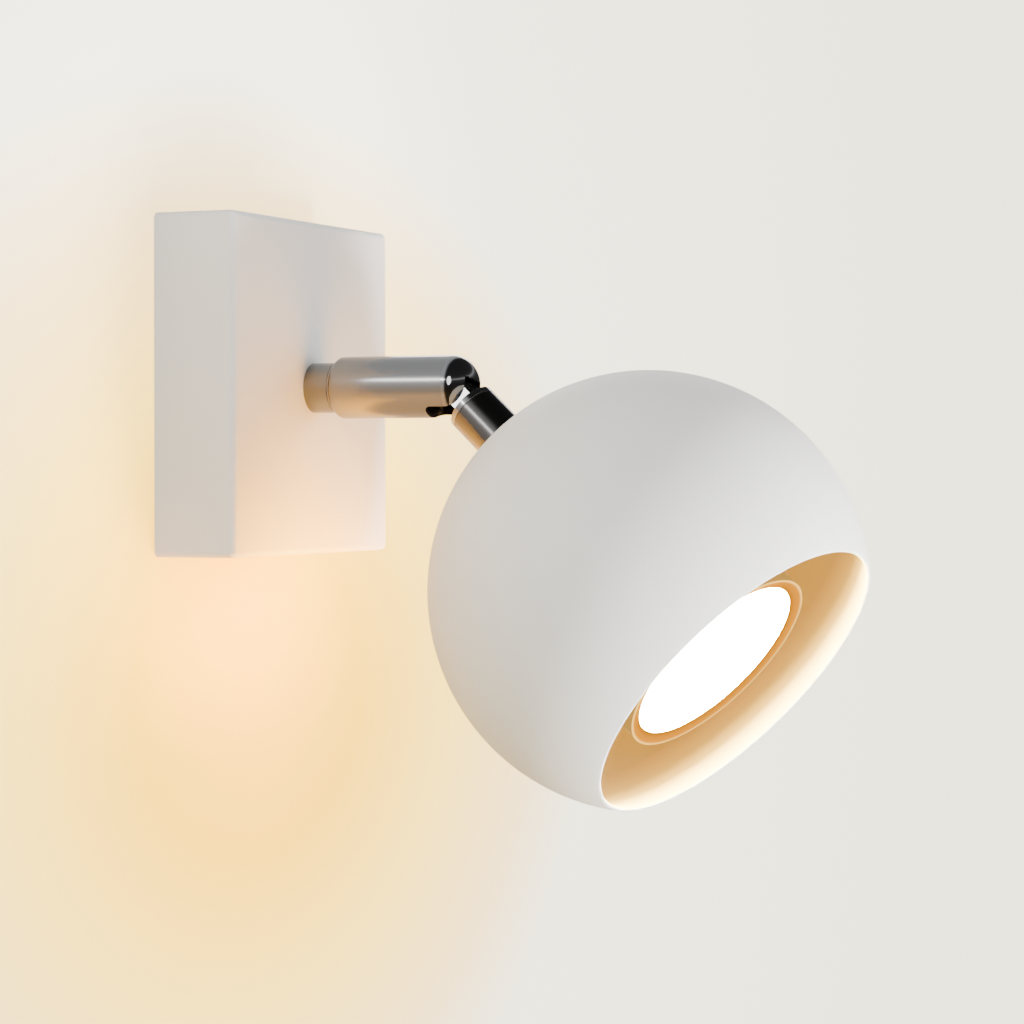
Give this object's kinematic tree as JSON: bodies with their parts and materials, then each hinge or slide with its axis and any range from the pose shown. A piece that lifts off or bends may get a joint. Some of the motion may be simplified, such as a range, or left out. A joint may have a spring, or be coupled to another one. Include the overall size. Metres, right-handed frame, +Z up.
{
  "type": "pivoting spotlight wall light",
  "caption": "Wall spotlight: a white globe shade with a cut mouth tilts on a chrome knuckle and swivels on a short satin arm that stands out from a square canopy.",
  "frame": {"origin": "centre of the canopy's back, in the plane of the wall", "axes": "+Z up, +X along the wall to the viewer's right when facing the wall, -Y out of the wall towards the room"},
  "size_m": [0.1, 0.1602, 0.1371],
  "materials": {
    "canopy_white": "fine matt powder coat",
    "shade_white": "smooth matt paint",
    "satin_nickel": "satin plated",
    "polished_chrome": "polished plate",
    "zinc_steel": "zinc plated",
    "brass": "bright",
    "steatite": "unglazed",
    "black_rubber": "matt",
    "block_plastic": "moulded",
    "brown_sleeve": "smooth sleeve",
    "blue_sleeve": "smooth sleeve",
    "earth_sleeve": "smooth sleeve",
    "lamp_plastic": "moulded",
    "lamp_metal": "dark cast finish",
    "bezel_gold": "bright, warm toned",
    "board": "white solder mask",
    "glowing_face": "frosted, lit"
  },
  "bodies": {
    "canopy": {"wall_bracket": "zinc_steel", "cable_grommet": "black_rubber", "canopy_cover": "canopy_white", "cover_screws": "zinc_steel", "arm_collar": "satin_nickel", "collar_washer": "zinc_steel", "collar_nut": "zinc_steel", "terminal_block": "block_plastic", "terminal_tubes": "brass", "terminal_screws": "zinc_steel", "block_screw": "zinc_steel", "earth_washer": "zinc_steel", "earth_screw": "brass", "live_lead": "brown_sleeve", "neutral_lead": "blue_sleeve", "earth_lead": "earth_sleeve"},
    "arm": {"arm_barrel": "satin_nickel", "knuckle_dome": "polished_chrome", "swivel_grub_screw": "zinc_steel", "pivot_screw": "polished_chrome", "arm_leads": "brown_sleeve"},
    "head": {"knuckle_tongue": "polished_chrome", "tilt_washer": "black_rubber", "stem_sleeve": "polished_chrome", "globe_shade": "shade_white", "shade_washer": "zinc_steel", "shade_nut": "zinc_steel", "holder_strap": "zinc_steel", "holder_body": "steatite", "holder_face": "steatite", "holder_screws": "zinc_steel", "holder_contacts": "brass", "head_leads": "brown_sleeve"},
    "lamp": {"lamp_pins": "brass", "lamp_base": "lamp_plastic", "lamp_shell": "lamp_metal", "lamp_bezel": "bezel_gold", "lamp_diffuser": "glowing_face", "led_board": "board"}
  },
  "joints": [
    {"name": "arm_swivel", "type": "hinge", "parent": "canopy", "child": "arm", "pos_m": [0, -0.021, 0], "axis": [0, -1, 0], "range_deg": [-148, 172]},
    {"name": "head_tilt", "type": "hinge", "parent": "arm", "child": "head", "pos_m": [0, -0.0575, 0], "axis": [0.9781, 0, -0.2079], "range_deg": [-27, 36]},
    {"name": "lamp_twist", "type": "hinge", "parent": "head", "child": "lamp", "pos_m": [-0.00654, -0.09243, -0.03076], "axis": [-0.1391, -0.7431, -0.6545], "range_deg": [-30, 0]}
  ]
}
